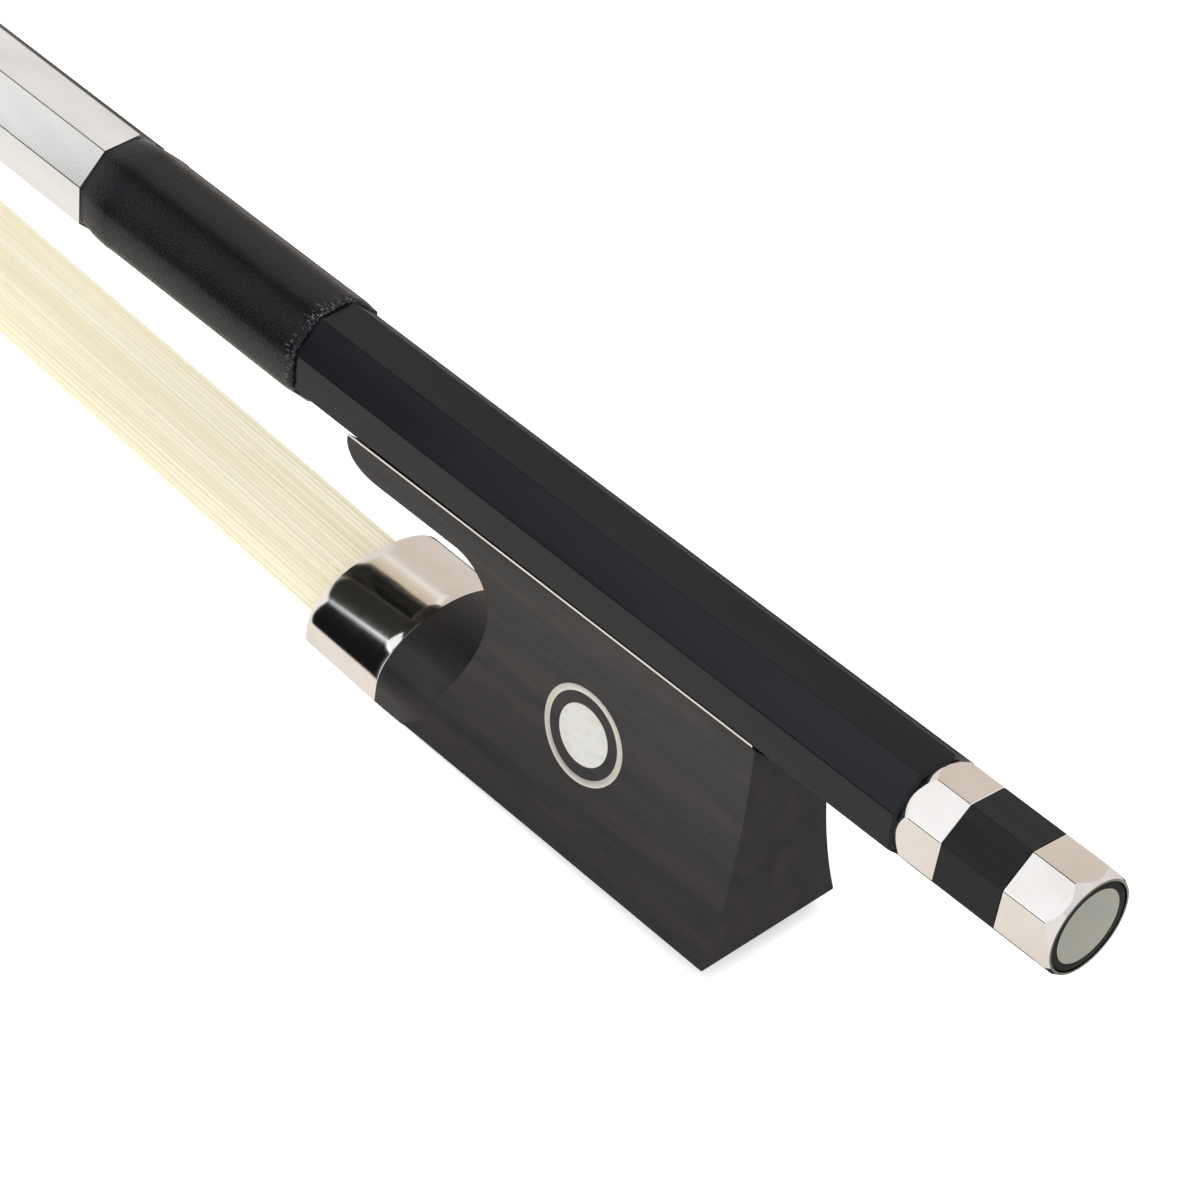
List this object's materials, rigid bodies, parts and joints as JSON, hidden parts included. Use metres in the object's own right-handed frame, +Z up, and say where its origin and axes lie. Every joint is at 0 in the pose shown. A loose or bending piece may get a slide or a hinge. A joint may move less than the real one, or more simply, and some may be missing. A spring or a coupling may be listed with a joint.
{
  "type": "violin bow",
  "caption": "Full-size violin bow: cambered stick with octagonal handle, ebony frog with eyes, D ferrule, leather grip, wire winding, ribbon of hair and a screw button that tightens it.",
  "frame": {"origin": "Middle of the bounding box at floor level.", "axes": "+X points along the bow from the head to the button, level with the hair. +Z is up, from the hair to the stick. +Y completes the right-handed frame. The cheek at -Y is the one turned towards the viewer in the picture."},
  "size_m": [0.7444, 0.0144, 0.032],
  "materials": {
    "black_lacquered_stick": "semi-gloss black lacquer",
    "ebony": "polished",
    "black_leather": "matt",
    "nickel_silver": "polished nickel silver",
    "silver_winding": "polished fine wire",
    "brass": "turned",
    "steel": "turned",
    "mother_of_pearl": "polished, iridescent",
    "bone": "satin",
    "plug_wood": "bare",
    "bound_hair": "bound and sealed",
    "horsehair": "combed flat"
  },
  "bodies": {
    "stick": {"stick": "black_lacquered_stick", "leather_grip": "black_leather", "wire_winding": "silver_winding", "tip_plate": "bone", "tip_liner": "ebony", "head_plug": "plug_wood", "head_knot": "bound_hair", "hair": "horsehair"},
    "frog": {"frog_body": "ebony", "underslide": "nickel_silver", "underslide_pin_1": "brass", "underslide_pin_2": "brass", "ferrule": "nickel_silver", "ferrule_wedge": "plug_wood", "pearl_slide": "mother_of_pearl", "slide_backing": "nickel_silver", "frog_plug": "plug_wood", "frog_knot": "bound_hair", "eye_ring_near": "nickel_silver", "eye_ring_far": "nickel_silver", "eye_pearl_near": "mother_of_pearl", "eye_pearl_far": "mother_of_pearl", "eyelet": "brass"},
    "screw": {"screw": "steel", "button_core": "ebony", "button_collar": "nickel_silver", "button_cap": "nickel_silver", "button_pearl": "mother_of_pearl", "button_collar_pin": "nickel_silver", "button_cap_pin": "nickel_silver"}
  },
  "joints": [
    {"name": "screw_turn", "type": "hinge", "parent": "stick", "child": "screw", "pos_m": [0.35635, 0, 0.02662], "axis": [-0.9976, 0, -0.0698], "range_deg": [-520, 4640]},
    {"name": "frog_slide", "type": "slide", "parent": "stick", "child": "frog", "axis": [0.9976, 0, 0.0698], "range_m": [-0.001, 0.009], "deforming": ["hair"]}
  ],
  "couplings": [
    {"joint": "screw_turn", "follows": "frog_slide", "rad_per_m": 8976}
  ]
}
